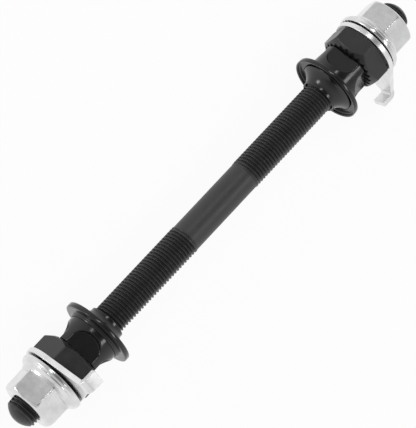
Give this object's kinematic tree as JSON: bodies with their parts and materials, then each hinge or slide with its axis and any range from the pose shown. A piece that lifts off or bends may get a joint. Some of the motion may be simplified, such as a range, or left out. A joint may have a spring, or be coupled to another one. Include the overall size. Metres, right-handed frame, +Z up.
{
  "type": "bicycle hub axle",
  "caption": "Threaded bicycle hub axle with bearing cones, dust caps, locknuts, hooked tab washers and flanged axle nuts at its ends.",
  "frame": {"origin": "on the axle's axis, half way between its two domed ends", "axes": "+X along the axle to the end whose hook leans on the floor, +Z up from the surface the axle lies on"},
  "size_m": [0.165, 0.0288, 0.0295],
  "materials": {
    "black_axle": "black oxide, satin",
    "black_locknut": "black oxide, satin",
    "black_cone": "black, glossy, turned",
    "black_cap": "black, glossy, pressed",
    "bright_nut": "bright zinc plate",
    "bright_washer": "bright zinc plate"
  },
  "bodies": {
    "axle": {"axle": "black_axle"},
    "washer_right": {"tab_washer_right": "bright_washer"},
    "nut_right": {"axle_nut_right": "bright_nut"},
    "dust_cap_right": {"dust_cap_right": "black_cap"},
    "cone_right": {"cone_right": "black_cone"},
    "locknut_right": {"locknut_right": "black_locknut"},
    "washer_left": {"tab_washer_left": "bright_washer"},
    "nut_left": {"axle_nut_left": "bright_nut"},
    "dust_cap_left": {"dust_cap_left": "black_cap"},
    "cone_left": {"cone_left": "black_cone"},
    "locknut_left": {"locknut_left": "black_locknut"}
  },
  "joints": [
    {"name": "right_washer_slide", "type": "slide", "parent": "axle", "child": "washer_right", "axis": [1, 0, 0], "range_m": [0, 0.01058]},
    {"name": "right_nut_turn", "type": "hinge", "parent": "washer_right", "child": "nut_right", "pos_m": [0.0667, 0, 0], "axis": [1, 0, 0], "range_deg": [0, 3602]},
    {"name": "right_cap_slide", "type": "slide", "parent": "axle", "child": "dust_cap_right", "axis": [-1, 0, 0], "range_m": [0, 0.03069]},
    {"name": "right_cone_turn", "type": "hinge", "parent": "dust_cap_right", "child": "cone_right", "pos_m": [0.04515, 0, 0], "axis": [-1, 0, 0], "range_deg": [0, 10442]},
    {"name": "right_locknut_turn", "type": "hinge", "parent": "dust_cap_right", "child": "locknut_right", "pos_m": [0.0585, 0, 0], "axis": [-1, 0, 0], "range_deg": [0, 10442]},
    {"name": "left_washer_slide", "type": "slide", "parent": "axle", "child": "washer_left", "axis": [-1, 0, 0], "range_m": [0, 0.01058]},
    {"name": "left_nut_turn", "type": "hinge", "parent": "washer_left", "child": "nut_left", "pos_m": [-0.0667, 0, 0], "axis": [-1, 0, 0], "range_deg": [0, 3602]},
    {"name": "left_cap_slide", "type": "slide", "parent": "axle", "child": "dust_cap_left", "axis": [1, 0, 0], "range_m": [0, 0.03069]},
    {"name": "left_cone_turn", "type": "hinge", "parent": "dust_cap_left", "child": "cone_left", "pos_m": [-0.04515, 0, 0], "axis": [1, 0, 0], "range_deg": [0, 10442]},
    {"name": "left_locknut_turn", "type": "hinge", "parent": "dust_cap_left", "child": "locknut_left", "pos_m": [-0.0585, 0, 0], "axis": [1, 0, 0], "range_deg": [0, 10442]}
  ],
  "couplings": [
    {"joint": "right_nut_turn", "follows": "right_washer_slide", "rad_per_m": 5936.9},
    {"joint": "right_cone_turn", "follows": "right_cap_slide", "rad_per_m": 5936.9},
    {"joint": "right_locknut_turn", "follows": "right_cap_slide", "rad_per_m": 5936.9},
    {"joint": "left_nut_turn", "follows": "left_washer_slide", "rad_per_m": 5936.9},
    {"joint": "left_cone_turn", "follows": "left_cap_slide", "rad_per_m": 5936.9},
    {"joint": "left_locknut_turn", "follows": "left_cap_slide", "rad_per_m": 5936.9}
  ]
}
